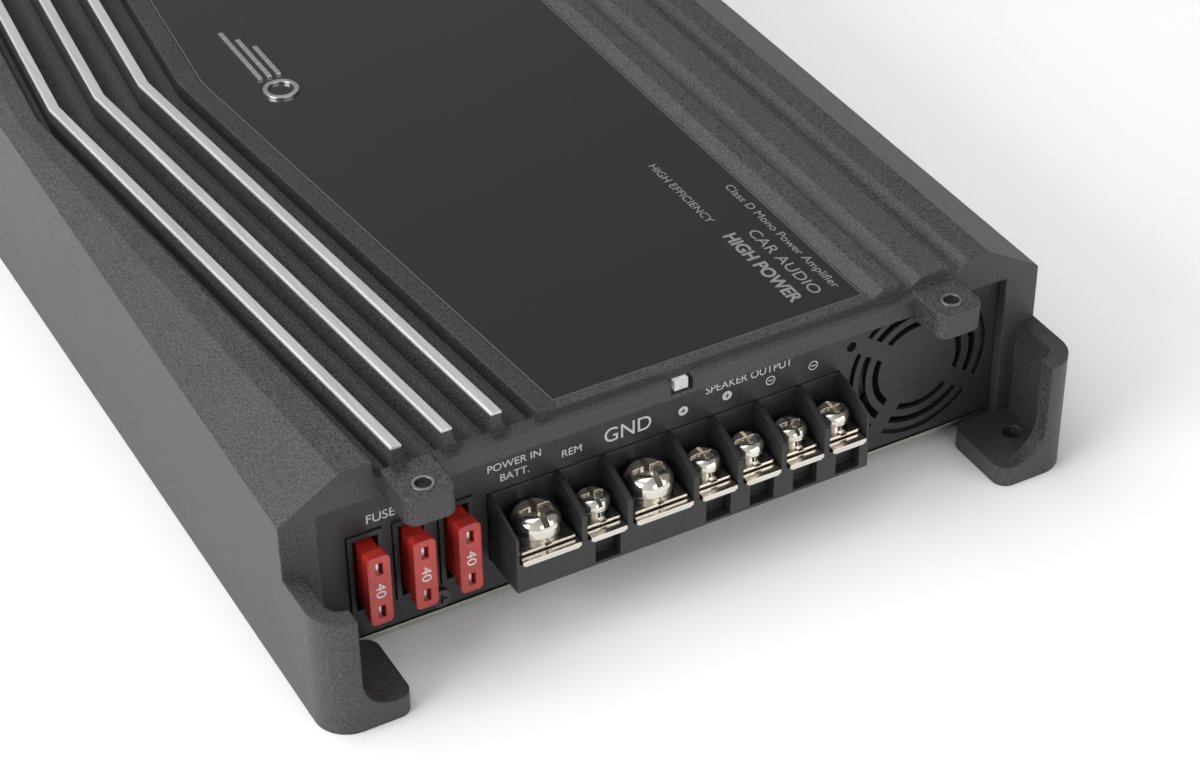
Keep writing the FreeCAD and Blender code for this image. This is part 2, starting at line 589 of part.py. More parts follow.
for i, name in enumerate(BAY_NAMES):
    shank = "big_shank_dia" if BIG[i] else "small_shank_dia"
    head = "big_head_dia" if BIG[i] else "small_head_dia"
    tall = "big_head_tall" if BIG[i] else "small_head_tall"
    half = 7.5 if BIG[i] else 4.7
    reach = 6.6 if BIG[i] else 5.6
    ring_dia = 11.6 if BIG[i] else 6.4
    ring_tall = 1.5 if BIG[i] else 1.7
    x = bay_centres[i]
    level = "bay_floor + plate_thick"
    washer = box("washer_%d" % i, "%s - %g" % (x, half), "%s - %g" % (SCREW_Y, reach), level + " + 0.05",
                 2 * half, reach + min(half, 3.8), "clamp_thick")
    gap = box("washer_gap_%d" % i, "%s - %g" % (x, half + 1), "%s - %g" % (SCREW_Y, reach + 1.0),
              level + " - 0.5", 2 * half + 2, 2.8, 1.0)
    mark = box("washer_mark_%d" % i, x + " - 0.9", "%s - %g" % (SCREW_Y, reach + 1.0),
               level + " + clamp_thick - 0.45", 1.8, 2.6, 1.0)
    ring = rod("spring_%d" % i, x, SCREW_Y, level + " + clamp_thick + 0.05", ring_dia / 2, ring_tall)
    bore = rod("washer_bore_%d" % i, x, SCREW_Y, level + " - 1", "%s / 2 + 0.05" % shank, 6)
    split = box("spring_split_%d" % i, x + " - 0.3", SCREW_Y + " - 7", level + " + clamp_thick + 0.05",
                0.6, 7, 3)
    clamp_base = cut("clamp_base_%d" % i, washer, gap, mark)
    node("clamp_" + name, cut("clamp_cut_%d" % i, fuse("clamp_solid_%d" % i, clamp_base, ring), bore, split))
    under = level + " + clamp_thick + %g" % (ring_tall + 0.1)
    cap = pan_head("term_head_%d" % i, x, SCREW_Y, under, dim(head) / 2, dim(tall))
    stem = rod("term_stem_%d" % i, x, SCREW_Y, "bay_floor - 6", "%s / 2" % shank, 10.4 + ring_tall - 1.0)
    slot_wide = 1.7 if BIG[i] else 1.1
    slot_low = under + " + %s - %g" % (tall, 2.0 if BIG[i] else 1.5)
    full = dim(head) + 0.4
    part_way = dim(head) * 0.66
    along, across = ((full, slot_wide), (slot_wide, part_way))
    if i in (0, 1, 2, 5):
        along, across = ((slot_wide, full), (part_way, slot_wide))
    slots_cut = [box("term_slot_%d_%d" % (i, k), "%s - %g" % (x, a / 2), "%s - %g" % (SCREW_Y, b / 2),
                     slot_low, a, b, 3) for k, (a, b) in enumerate((along, across))]
    node("screw_" + name, cut("term_screw_%d" % i, fuse("term_solid_%d" % i, cap, stem), *slots_cut))

# ---------------------------------------------------------------- fuses

holder_back = box("holder_back", "-fuse_first - 7.0", "-half_length + end_recess + end_thick + 0.1",
                  "fuse_middle - fuse_height / 2 - 2.4", "2 * fuse_pitch + 14.0", 18.4,
                  "fuse_height + 4.8")
collars = [box("holder_collar_%d" % i, "%s - fuse_thick / 2 - 1.7" % x, "-half_length + end_recess - 0.7",
               "fuse_middle - fuse_height / 2 - 1.7", "fuse_thick + 3.4", "end_thick + 1.0",
               "fuse_height + 3.4") for i, x in enumerate(FUSE_X)]
pockets = []
for i, x in enumerate(FUSE_X):
    pockets.append(box("pocket_%d" % i, "%s - fuse_thick / 2 - 0.4" % x, "-half_length",
                       "fuse_middle - fuse_height / 2 - 0.4", "fuse_thick + 0.8",
                       "fuse_depth - fuse_reach + 0.4", "fuse_height + 0.8"))
    for j in (-1, 1):
        pockets.append(box("blade_slot_%d_%d" % (i, j + 1), "%s - blade_thick / 2 - 0.3" % x,
                           "-half_length + fuse_depth - fuse_reach",
                           "fuse_middle + %g * 6.1 - blade_wide / 2 - 0.3" % j,
                           "blade_thick + 0.6", "blade_long + 1", "blade_wide + 0.6"))
node("fuse_holder", cut("holder_cut", fuse("holder_body", holder_back, *collars), *pockets))


def rounded_outline(name, wide, tall, radius):
    """An upright rectangle about the origin with rounded corners."""
    a = wide / 2
    b = tall / 2
    points = []
    for sx, sz, start in ((1, 1, 0), (-1, 1, 90), (-1, -1, 180), (1, -1, 270)):
        centre = (sx * (a - radius), sz * (b - radius))
        points.append(arc_point(*centre, radius, start))
        points.append((arc_point(*centre, radius, start + 45), arc_point(*centre, radius, start + 90)))
    return outline(name, points, UPRIGHT)


for i, x in enumerate(FUSE_X):
    head_plan = rounded_outline("fuse_head_plan_%d" % i, dim("fuse_thick"), dim("fuse_height"),
                                dim("fuse_corner"))
    head = prism("fuse_head_%d" % i, head_plan, (0, 1, 0), "3.4")
    bind(head, _at_x=x, _at_y="-half_length - fuse_reach", _at_z="fuse_middle")
    skirt = box("fuse_skirt_%d" % i, "%s - fuse_thick / 2 + 0.8" % x, "-half_length - fuse_reach + 3.3",
                "fuse_middle - fuse_height / 2 + 1.1", "fuse_thick - 1.6", "fuse_depth - 3.3",
                "fuse_height - 2.2")
    windows = [box("fuse_window_%d_%d" % (i, j + 1), "%s - 0.95" % x, "-half_length - fuse_reach - 1",
                   "fuse_middle + %g * 6.8 - 1.9" % j, 2.0, 3.2, 3.8) for j in (-1, 1)]
    sockets = [box("blade_root_%d_%d" % (i, j + 1), "%s - blade_thick / 2" % x,
                   "-half_length - fuse_reach + 1.2", "fuse_middle + %g * 6.1 - blade_wide / 2" % j,
                   "blade_thick", "fuse_depth", "blade_wide") for j in (-1, 1)]
    node("fuse_body_%d" % (i + 1),
         cut("fuse_cut_%d" % i, fuse("fuse_solid_%d" % i, head, skirt), *windows, *sockets))
    blades = [box("blade_%d_%d" % (i, j + 1), "%s - blade_thick / 2" % x,
                  "-half_length - fuse_reach + 1.2", "fuse_middle + %g * 6.1 - blade_wide / 2" % j,
                  "blade_thick", "fuse_depth - 1.2 + blade_long", "blade_wide") for j in (-1, 1)]
    node("fuse_blades_%d" % (i + 1), group("blade_pair_%d" % i, *blades))

# ---------------------------------------------------------------- fan

FAN_Y = "-half_length + end_recess + end_thick + 0.1"
fan_box = box("fan_box", "fan_side - fan_size / 2", FAN_Y, "fan_middle - fan_size / 2",
              "fan_size", "fan_deep", "fan_size")
fan_hole = rod("fan_hole", "fan_side", FAN_Y + " - 1", "fan_middle", "fan_blade_dia / 2 + 0.8",
               "fan_deep + 2", "y")
corner_holes = [rod("fan_corner_%d" % i, "fan_side + %d * 18.5" % sx, FAN_Y + " - 1",
                    "fan_middle + %d * 18.5" % sz, 1.75, "fan_deep + 2", "y")
                for i, (sx, sz) in enumerate(((-1, -1), (1, -1), (-1, 1), (1, 1)))]
ring_frame = cut("fan_ring", fan_box, fan_hole, *corner_holes)
strut_a = box("fan_strut_a", "fan_side - fan_size / 2 + 1", FAN_Y + " + fan_deep - 1.6",
              "fan_middle - 1.2", "fan_size - 2", 1.6, 2.4)
strut_b = box("fan_strut_b", "fan_side - 1.2", FAN_Y + " + fan_deep - 1.6",
              "fan_middle - fan_size / 2 + 1", 2.4, 1.6, "fan_size - 2")
motor_seat = rod("fan_motor_seat", "fan_side", FAN_Y + " + fan_deep - 1.6", "fan_middle",
                 "fan_hub_dia / 2", 1.6, "y")
pin = rod("fan_pin", "fan_side", FAN_Y + " + 3.5", "fan_middle", 1.5, "fan_deep - 4", "y")
node("fan_frame", fuse("fan_frame_solid", ring_frame, strut_a, strut_b, motor_seat, pin))

hub = rod("fan_hub", "fan_side", FAN_Y + " + 1.0", "fan_middle", "fan_hub_dia / 2", "fan_deep - 3.4", "y")
hub_bore = rod("fan_hub_bore", "fan_side", FAN_Y + " + 3.0", "fan_middle", 1.55, "fan_deep", "y")
blade_base = FreeCAD.Vector(dim("fan_side"), -half_long + dim("end_recess") + dim("end_thick") + 5.0,
                            dim("fan_middle"))
fan_blades = []
for i in range(7):
    vane = doc.addObject("Part::Box", "fan_vane_%d" % i)
    bind(vane, Height="fan_blade_dia / 2 - fan_hub_dia / 2 + 1.0")
    vane.Length = 9.0
    vane.Width = 0.9
    lean = FreeCAD.Rotation(FreeCAD.Vector(0, 0, 1), 38)
    around = FreeCAD.Rotation(FreeCAD.Vector(0, 1, 0), 360.0 * i / 7)
    offset = lean.multVec(FreeCAD.Vector(-4.5, -0.45, 0)) + FreeCAD.Vector(0, 0, 9.0)
    vane.Placement = FreeCAD.Placement(blade_base + around.multVec(offset), around * lean)
    fan_blades.append(vane)
sweep_limit = rod("fan_sweep", "fan_side", FAN_Y, "fan_middle", "fan_blade_dia / 2", "fan_deep", "y")
vanes_round = doc.addObject("Part::MultiCommon", "fan_vanes_round")
vanes_round.Shapes = [fuse("fan_vanes", *fan_blades), sweep_limit]
node("fan_rotor", cut("fan_rotor_solid", fuse("fan_rotor_all", hub, vanes_round), hub_bore))

# ---------------------------------------------------------------- circuit board

STAND_SPOTS = [(sx * 82.0, sy * 120.0) for sx in (-1, 1) for sy in (-1, 1)]
board = pad_body("board_plate", "XY_Plane", ("-91", "-158", "182", "316"), "board_thick", "board_level",
                 [], [("%g" % x, "%g" % y, "3.4") for x, y in STAND_SPOTS])
notches = [box("board_notch_%d" % i, x - 8, y - 6, "board_level - 1", 16, 12, 5)
           for i, (x, y) in enumerate(boss_spots)]
node("circuit_board", cut("board_cut", board, *notches))
stands = []
board_screws = []
for i, (x, y) in enumerate(STAND_SPOTS):
    post = rod("stand_%d" % i, x, y, "cover_level + cover_thick", 3.2,
               "board_level - cover_level - cover_thick")
    post_bore = rod("stand_bore_%d" % i, x, y, "cover_level", 1.3, 10)
    stands.append(cut("standoff_%d" % i, post, post_bore))
    cap = rod("board_head_%d" % i, x, y, "board_level + board_thick", 2.7, 1.6)
    stem = rod("board_stem_%d" % i, x, y, "board_level - 3", 1.25, "board_thick + 3.2")
    board_screws.append(fuse("board_screw_%d" % i, cap, stem))
node("board_standoffs", group("stand_group", *stands))
node("board_screws", group("board_screw_group", *board_screws))

ON_BOARD = "board_level + board_thick"
core = cut("toroid_core_ring", rod("toroid_core_out", -20, -60, ON_BOARD + " + 2.2", 27, 20),
           rod("toroid_core_in", -20, -60, ON_BOARD, 15, 40))
node("transformer_core", core)
coil_out = doc.addObject("Part::Torus", "coil_ring")
coil_out.Radius1 = 21.0
coil_out.Radius2 = 11.5
bind(coil_out, _at_x=-20, _at_y=-60, _at_z=ON_BOARD + " + 12.2")
coil_shell = cut("coil_shell", coil_out,
                 cut("coil_core_room", rod("coil_room_out", -20, -60, ON_BOARD + " + 2.1", 27.1, 20.2),
                     rod("coil_room_in", -20, -60, ON_BOARD, 14.9, 40)))
coil_gap = box("coil_gap", -20, -64, ON_BOARD, 60, 8, 40)
node("transformer_winding", cut("coil_cut", coil_shell, coil_gap))

chokes = []
for i, (x, y) in enumerate(((-55, 45), (-20, 45), (15, 45))):
    ring = doc.addObject("Part::Torus", "choke_ring_%d" % i)
    ring.Radius1 = 10.0
    ring.Radius2 = 5.5
    bind(ring, _at_x=x, _at_y=y, _at_z=ON_BOARD + " + 5.5")
    chokes.append(ring)
node("output_chokes", group("choke_group", *chokes))
cans = []
for i in range(6):
    x = 40 + 27 * (i % 2)
    y = -110 + 32 * (i // 2)
    cans.append(rod("can_%d" % i, x - 12, y, ON_BOARD, 11, 32))
node("storage_capacitors", group("can_group", *cans))
small_cans = [rod("small_can_%d" % i, -60 + 22 * i, 85, ON_BOARD, 6.5, 22) for i in range(5)]
node("filter_capacitors", group("small_can_group", *small_cans))
tabs = []
for side in (-1, 1):
    for i in range(6):
        y = -100 + 38 * i + 4
        if abs(y) < 8:
            y = 12
        tabs.append(box("tab_%d_%d" % (side + 1, i), 94.9 if side > 0 else -99.5, y - 5,
                        "board_level + 5", 4.6, 10, 16))
node("power_transistors", group("tab_group", *tabs))
bars = [box("clamp_bar_%d" % i, 92.3 if i else -94.7, -104, "board_level + 12", 2.4, 204, 6)
        for i in range(2)]
node("transistor_clamp_bars", group("bar_group", *bars))

# ---------------------------------------------------------------- control end

PLATE_OUT = "half_length - end_recess"
jacks = []
for i, (x, level) in enumerate(((-75, 0), (-57, 0), (-75, 14), (-57, 14))):
    z = "control_level + %d" % level
    collar = rod("jack_collar_%d" % i, x, PLATE_OUT + " - 8", z, "jack_dia / 2", 17, "y")
    bore = rod("jack_bore_%d" % i, x, PLATE_OUT + " + 0.5", z, 1.7, 12, "y")
    cup_out = rod("jack_cup_out_%d" % i, x, PLATE_OUT + " + 1", z, "jack_dia / 2 - 0.7", 12, "y")
    cup_in = rod("jack_cup_in_%d" % i, x, PLATE_OUT, z, "jack_dia / 2 - 1.3", 14, "y")
    cup = cut("jack_cup_%d" % i, cup_out, cup_in)
    jacks.append(cut("jack_%d" % i, collar, bore, cup))
node("rca_jacks", group("jack_group", *jacks))
jack_base = box("jack_base", -82, PLATE_OUT + " - 19.6", "control_level - 7", 32, 11.4, 28)
node("jack_housing", jack_base)

KNOBS = (("gain", -25), ("low_pass", 0), ("bass_boost", 25))
pots = []
for name, x in KNOBS:
    shell = box("pot_shell_" + name, x - 5, PLATE_OUT + " - 9", "control_level - 5.5", 10, 7, 11)
    shaft = rod("pot_shaft_" + name, x, PLATE_OUT + " - 2.5", "control_level", 1.5, 6.5, "y")
    pots.append(fuse("pot_" + name, shell, shaft))
    cap = rod("knob_cap_" + name, x, PLATE_OUT + " - 1.2", "control_level", 3.4, "knob_long", "y")
    bore = rod("knob_bore_" + name, x, PLATE_OUT + " - 2", "control_level", 1.55, 6.2, "y")
    slit = box("knob_slit_" + name, x - 2.6, PLATE_OUT + " - 1.2 + knob_long - 0.8",
               "control_level - 0.4", 5.2, 2, 0.8)
    node("knob_" + name, cut("knob_cut_" + name, cap, bore, slit))
node("potentiometers", group("pot_group", *pots))

switch_shells = []
for i, x in enumerate(SWITCH_X):
    shell = box("switch_shell_%d" % i, x - 5.5, PLATE_OUT + " - 7.6", "control_level - 3.2", 11, 6, 6.4)
    room = box("switch_room_%d" % i, x - 3.6, PLATE_OUT + " - 5.4", "control_level - 1.9", 7.2, 8, 3.8)
    switch_shells.append(cut("switch_%d" % i, shell, room))
    slider = box("slider_%d" % i, x - 3.3, PLATE_OUT + " - 5.1", "control_level - 1.5", 3.0, 7.0, 3.0)
    node(("phase_slider", "filter_slider")[i], slider)
node("switch_bodies", group("switch_group", *switch_shells))
socket_shell = box("socket_shell", 76 - 5.0, PLATE_OUT + " - 12", "control_level - 4", 10, 13, 8)
socket_room = box("socket_room", 76 - 3.8, PLATE_OUT + " - 9", "control_level - 2.8", 7.6, 12, 5.6)
node("remote_socket", cut("socket_cut", socket_shell, socket_room))

# ---------------------------------------------------------------- check and write

doc.recompute()
for thing in doc.Objects:
    if "Invalid" in thing.State or "Error" in thing.State:
        raise RuntimeError("%s did not build" % thing.Name)
os.makedirs("parts", exist_ok=True)
for label, thing in NODES.items():
    shape = thing.Shape
    if shape.isNull() or not shape.isValid() or not shape.Solids:
        raise RuntimeError("%s has no valid solid" % label)
    shape.exportStep("parts/%s.step" % label)
whole = Part.makeCompound([thing.Shape for thing in NODES.values()])
limits = whole.BoundBox
print("%d nodes, size %.2f x %.2f x %.2f mm" % (len(NODES), limits.XLength, limits.YLength, limits.ZLength))
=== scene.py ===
import json
import math

import bmesh
import bpy
from mathutils import Matrix, Vector


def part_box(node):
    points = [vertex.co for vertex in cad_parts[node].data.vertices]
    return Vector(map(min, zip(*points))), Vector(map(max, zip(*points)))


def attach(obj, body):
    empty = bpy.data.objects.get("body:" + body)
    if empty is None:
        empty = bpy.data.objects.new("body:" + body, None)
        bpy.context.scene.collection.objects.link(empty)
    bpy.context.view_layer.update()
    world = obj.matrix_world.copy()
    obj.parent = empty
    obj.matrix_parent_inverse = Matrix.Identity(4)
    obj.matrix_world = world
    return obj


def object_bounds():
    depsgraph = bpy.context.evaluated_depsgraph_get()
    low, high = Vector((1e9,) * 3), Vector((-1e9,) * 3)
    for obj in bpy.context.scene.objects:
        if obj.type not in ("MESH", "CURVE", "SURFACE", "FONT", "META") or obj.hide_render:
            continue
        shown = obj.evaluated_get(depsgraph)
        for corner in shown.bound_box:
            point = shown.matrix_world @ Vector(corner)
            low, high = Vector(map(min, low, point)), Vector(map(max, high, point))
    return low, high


# A car audio amplifier: a finish for every node, the printed legends and marks on its case, and a
# pale studio. Lengths are in metres. X runs from the fuses to the fan, -Y is the screw-terminal
# end, +Y is the control end and Z is up.

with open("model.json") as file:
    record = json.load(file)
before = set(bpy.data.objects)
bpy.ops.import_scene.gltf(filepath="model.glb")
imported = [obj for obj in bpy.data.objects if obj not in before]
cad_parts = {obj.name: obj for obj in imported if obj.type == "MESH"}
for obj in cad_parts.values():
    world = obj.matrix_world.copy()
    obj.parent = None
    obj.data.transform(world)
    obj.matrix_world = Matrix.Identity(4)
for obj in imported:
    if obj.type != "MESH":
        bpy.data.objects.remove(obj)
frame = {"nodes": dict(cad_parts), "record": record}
cad_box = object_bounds()
nodes = frame["nodes"]


# ------------------------------------------------------------------ materials

NOISE_RANGE = (0.3, 0.7)  # nearly all of a noise texture's values lie between these


class Recipe:
    """A small node-tree builder for one procedural material."""

    def __init__(self, name):
        self.material = bpy.data.materials.new(name)
        self.material.use_nodes = True
        self.tree = self.material.node_tree
        self.shader = self.tree.nodes["Principled BSDF"]
        self.place = self.add("ShaderNodeTexCoord").outputs["Object"]

    def add(self, kind, **settings):
        made = self.tree.nodes.new(kind)
        for key, value in settings.items():
            setattr(made, key, value)
        return made

    def link(self, source, target):
        self.tree.links.new(source, target)

    def set(self, **sockets):
        """Constant values on the shader's own sockets; an underscore stands for a space."""
        for key, value in sockets.items():
            self.shader.inputs[key.replace("_", " ")].default_value = value
        return self

    def stretched(self, scale):
        mapping = self.add("ShaderNodeMapping")
        mapping.inputs["Scale"].default_value = scale
        self.link(self.place, mapping.inputs["Vector"])
        return mapping.outputs["Vector"]

    def noise(self, scale, detail=3.0, rough=0.6, stretch=None):
        made = self.add("ShaderNodeTexNoise")
        made.inputs["Scale"].default_value = scale
        made.inputs["Detail"].default_value = detail
        made.inputs["Roughness"].default_value = rough
        self.link(self.stretched(stretch) if stretch else self.place, made.inputs["Vector"])
        return made.outputs["Fac"]

    def colour(self, source, low, high, stops=NOISE_RANGE):
        """Base colour that goes from low to high as the source rises from stop to stop."""
        made = self.add("ShaderNodeValToRGB")
        for element, position, shade in zip(made.color_ramp.elements, stops, (low, high)):
            element.position = position
            element.color = (*shade, 1.0)
        self.link(source, made.inputs["Fac"])
        self.link(made.outputs["Color"], self.shader.inputs["Base Color"])

    def roughness(self, source, low, high):
        made = self.add("ShaderNodeMapRange")
        made.inputs["From Min"].default_value, made.inputs["From Max"].default_value = NOISE_RANGE
        made.inputs["To Min"].default_value = low
        made.inputs["To Max"].default_value = high
        self.link(source, made.inputs["Value"])
        self.link(made.outputs["Result"], self.shader.inputs["Roughness"])

    def relief(self, height, depth, strength=1.0, edge=0.0):
        """Bumps of the given depth, over edges softened by a small radius."""
        made = self.add("ShaderNodeBump")
        made.inputs["Distance"].default_value = depth
        made.inputs["Strength"].default_value = strength
        self.link(height, made.inputs["Height"])
        if edge:
            self.link(self.rounded(edge), made.inputs["Normal"])
        self.link(made.outputs["Normal"], self.shader.inputs["Normal"])

    def rounded(self, radius):
        """A soft highlight along every edge, as on a real moulded or machined edge."""
        made = self.add("ShaderNodeBevel", samples=4)
        made.inputs["Radius"].default_value = radius
        return made.outputs["Normal"]


def grey(value):
    return (value, value, value)


def speckled(name, low, high, roughness, grain, depth, edge=0.0004, specular=0.5):
    """Powder coat or moulded texture: fine grain in colour, gloss and relief."""
    times_coarser, broad_share = 40.0, 0.08
    speck_stops = (0.43, 0.66)
    r = Recipe(name).set(Specular_IOR_Level=specular)
    fine = r.noise(grain, 2.0, 0.7)
    broad = r.noise(grain / times_coarser, 3.0, 0.5)
    mix = r.add("ShaderNodeMath", operation="MULTIPLY_ADD")
    r.link(broad, mix.inputs[0])
    mix.inputs[1].default_value = broad_share
    r.link(fine, mix.inputs[2])
    r.colour(mix.outputs[0], low, high, speck_stops)
    r.roughness(fine, *roughness)
    r.relief(fine, depth, edge=edge)
    return r.material


def brushed(name, low, high, roughness, along, metallic=1.0):
    """Metal with fine lines along one axis (0, 1 or 2)."""
    r = Recipe(name).set(Metallic=metallic)
    stretch = [1.0, 1.0, 1.0]
    stretch[along] = 0.02
    lines = r.noise(900.0, 4.0, 0.65, stretch)
    r.colour(lines, low, high)
    r.roughness(lines, *roughness)
    r.relief(lines, 0.00001, 0.6, edge=0.0003)
    return r.material


def plated(name, low, high, roughness):
    """Nickel, zinc or tin plating: soft blotches and tiny scratches."""
    r = Recipe(name).set(Metallic=1.0)
    blotch = r.noise(70.0, 4.0)
    scratch = r.noise(1500.0, 3.0, stretch=(1.0, 0.12, 1.0))
    r.colour(blotch, low, high)
    r.roughness(scratch, *roughness)
    r.relief(scratch, 0.000004, 0.5, edge=0.00025)
    return r.material


def glossy(name, shade, roughness=(0.06, 0.10), coat=1.0, edge=0.0005):
    """Lacquer or polished plastic under a clear coat, with fine dust in its gloss."""
    r = Recipe(name).set(Coat_Weight=coat, Coat_Roughness=0.04, Specular_IOR_Level=0.5)
    dust = r.noise(3200.0, 2.0)
    broad = r.noise(18.0, 2.0, 0.5)
    lighter = tuple(channel * 1.12 for channel in shade)
    r.colour(broad, shade, lighter, (0.35, 0.7))
    r.roughness(dust, *roughness)
    r.relief(broad, 0.000004, 0.2, edge)
    return r.material


def fuse_plastic():
    """Tinted, slightly see-through moulding."""
    r = Recipe("fuse_plastic").set(Transmission_Weight=0.30, IOR=1.49, Specular_IOR_Level=0.6,
                                   Coat_Weight=0.5, Coat_Roughness=0.38)
    cloud = r.noise(180.0, rough=0.5)
    grain = r.noise(2600.0, 2.0)
    r.colour(cloud, (0.36, 0.012, 0.007), (0.58, 0.026, 0.016))
    r.roughness(grain, 0.26, 0.40)
    r.relief(grain, 0.00002, 0.5, edge=0.0007)
    return r.material


def light_window():
    """The end of a light pipe: milky plastic with a faint glow."""
    r = Recipe("light_window").set(Transmission_Weight=0.3, Emission_Strength=0.04,
                                   Emission_Color=(0.9, 0.96, 1.0, 1.0))
    cloud = r.noise(500.0, 2.0, 0.5)
    r.colour(cloud, grey(0.55), grey(0.70))
    r.roughness(cloud, 0.2, 0.35)
    r.relief(cloud, 0.00002, 0.5, edge=0.0004)
    return r.material


def printed_ink(name, shade):
    """Screen-printed ink, thinner in tiny flecks."""
    r = Recipe(name)
    fleck = r.noise(2500.0)
    thin = tuple(channel * 0.82 for channel in shade)
    r.colour(fleck, thin, shade)
    r.roughness(fleck, 0.4, 0.55)
    r.relief(fleck, 0.000005, 0.4)
    return r.material


def board_mask():
    """Solder mask over a pattern of copper pours."""
    r = Recipe("board_mask").set(Coat_Weight=0.4, Coat_Roughness=0.2)
    pours = r.add("ShaderNodeTexVoronoi", feature="DISTANCE_TO_EDGE")
    pours.inputs["Scale"].default_value = 160.0
    r.link(r.place, pours.inputs["Vector"])
    r.colour(pours.outputs["Distance"], (0.02, 0.10, 0.03), (0.01, 0.05, 0.02), (0.04, 0.09))
    r.roughness(r.noise(900.0), 0.3, 0.45)
    r.relief(pours.outputs["Distance"], 0.00005, 0.4)
    return r.material


def wound_copper():
    """Enamelled wire, turn beside turn."""
    r = Recipe("wound_copper").set(Metallic=0.9, Coat_Weight=0.6, Coat_Roughness=0.15)
    turns = r.add("ShaderNodeTexWave", wave_type="BANDS", bands_direction="DIAGONAL")
    turns.inputs["Scale"].default_value = 260.0
    turns.inputs["Distortion"].default_value = 1.5
    r.link(r.place, turns.inputs["Vector"])
    r.colour(turns.outputs["Fac"], (0.30, 0.09, 0.03), (0.75, 0.32, 0.12), (0.2, 0.8))
    r.roughness(turns.outputs["Fac"], 0.3, 0.4)
    r.relief(turns.outputs["Fac"], 0.0003, 0.8)
    return r.material


ALONG_X, ALONG_Y = 0, 1

MATERIALS = {
    "charcoal_powder_coat": speckled("charcoal_coat", grey(0.010), grey(0.060), (0.32, 0.56),
                                     2000.0, 0.00022, edge=0.0009),
    "bright_strip": brushed("bright_strip", grey(0.50), grey(0.62), (0.28, 0.40), ALONG_Y,
                            metallic=0.5),
    "gloss_black": glossy("gloss_black", grey(0.0055), coat=0.4),
    "badge_metal": brushed("badge_metal", grey(0.55), grey(0.75), (0.2, 0.3), ALONG_X),
    "steel_insert": plated("steel_insert", grey(0.22), grey(0.36), (0.25, 0.45)),
    "clear_plastic": light_window(),
    "black_sheet": speckled("black_sheet", grey(0.013), grey(0.026), (0.30, 0.44), 3200.0,
                            0.00002, edge=0.0003, specular=0.45),
    "zinc_sheet": plated("zinc_sheet", (0.36, 0.37, 0.33), (0.50, 0.51, 0.47), (0.3, 0.5)),
    "black_moulding": speckled("black_moulding", (0.011, 0.0112, 0.012), (0.023, 0.0235, 0.025),
                               (0.36, 0.52), 2400.0, 0.00003),
    "nickel": plated("nickel_plate", (0.70, 0.655, 0.585), (0.80, 0.76, 0.69), (0.13, 0.22)),
    "fuse_red": fuse_plastic(),
    "tin_blade": plated("tin_blade", grey(0.5), grey(0.7), (0.2, 0.35)),
    "board_green": board_mask(),
    "ferrite": speckled("ferrite", grey(0.03), grey(0.06), (0.5, 0.7), 1500.0, 0.00005),
    "copper": wound_copper(),
    "can_sleeve": speckled("can_sleeve", (0.010, 0.014, 0.03), (0.02, 0.026, 0.05),
                           (0.25, 0.35), 1800.0, 0.00001),
    "epoxy": speckled("epoxy", grey(0.015), grey(0.03), (0.5, 0.65), 2200.0, 0.00003),
    "raw_aluminium": brushed("raw_aluminium", grey(0.45), grey(0.62), (0.35, 0.5), ALONG_Y),
    "gold_jack": plated("gold_jack", (0.62, 0.42, 0.13), (0.85, 0.62, 0.24), (0.15, 0.28)),
    "pot_metal": plated("pot_metal", grey(0.4), grey(0.55), (0.3, 0.45)),
}
INK = printed_ink("legend_ink", grey(0.55))
SILVER_INK = printed_ink("silver_ink", grey(0.20))
DARK_INK = printed_ink("dark_ink", grey(0.012))
# Painted highlight: a lighter glossy grey laid along the top panel's edge for the light that edge
# catches.
PAINTED_EDGE_HIGHLIGHT = glossy("painted_edge_highlight", grey(0.09), (0.15, 0.22))

# A node whose finish differs from the rest of its material slot.
OWN_FINISH = {"front_panel_screw": glossy("black_screw", grey(0.008), (0.12, 0.2), edge=0.0003)}

for part in frame["record"]["subparts"]:
    thing = nodes[part["node"]]
    for held in thing.material_slots:
        held.material = OWN_FINISH.get(part["node"], MATERIALS[part["material_slot"]])


# ------------------------------------------------------------------ making pieces

RIGHT, LEFT, UP, DOWN, TOWARDS_TERMINALS = (1, 0, 0), (-1, 0, 0), (0, 0, 1), (0, 0, -1), (0, -1, 0)
PRINT_GAP = 0.00004        # between a printed mark and the upright face behind it
INK_HALF_THICKNESS = 0.00002


def add_piece(name, data, material, body="chassis"):
    thing = bpy.data.objects.new(name, data)
    bpy.context.scene.collection.objects.link(thing)
    data.materials.append(material)
    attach(thing, body)
    return thing


def legend(name, words, size, place, across, up, material=INK, body="chassis", bold=0.0,
           align="CENTER", wide=1.0):
    """Printed words: across runs along the line of text, up is the top of the letters."""
    curve = bpy.data.curves.new(name, "FONT")
    curve.body = words
    curve.size = size
    curve.align_x = align
    curve.align_y = "CENTER"
    curve.extrude = INK_HALF_THICKNESS
    curve.offset = bold
    thing = bpy.data.objects.new(name, curve)
    bpy.context.scene.collection.objects.link(thing)
    across, up = Vector(across).normalized(), Vector(up).normalized()
    turn = Matrix((across * wide, up, across.cross(up))).transposed().to_4x4()
    thing.matrix_world = Matrix.Translation(place) @ turn
    bpy.context.view_layer.update()
    shaped = thing.evaluated_get(bpy.context.evaluated_depsgraph_get())
    mesh = bpy.data.meshes.new_from_object(shaped)
    mesh.transform(thing.matrix_world)
    bpy.data.objects.remove(thing)
    return add_piece(name, mesh, material, body)


def flat_piece(name, faces, material):
    """A printed shape made of flat faces, each a list of corners."""
    mesh = bpy.data.meshes.new(name)
    bm = bmesh.new()
    for corners in faces:
        bm.faces.new([bm.verts.new(corner) for corner in corners])
    bm.to_mesh(mesh)
    bm.free()
    return add_piece(name, mesh, material)


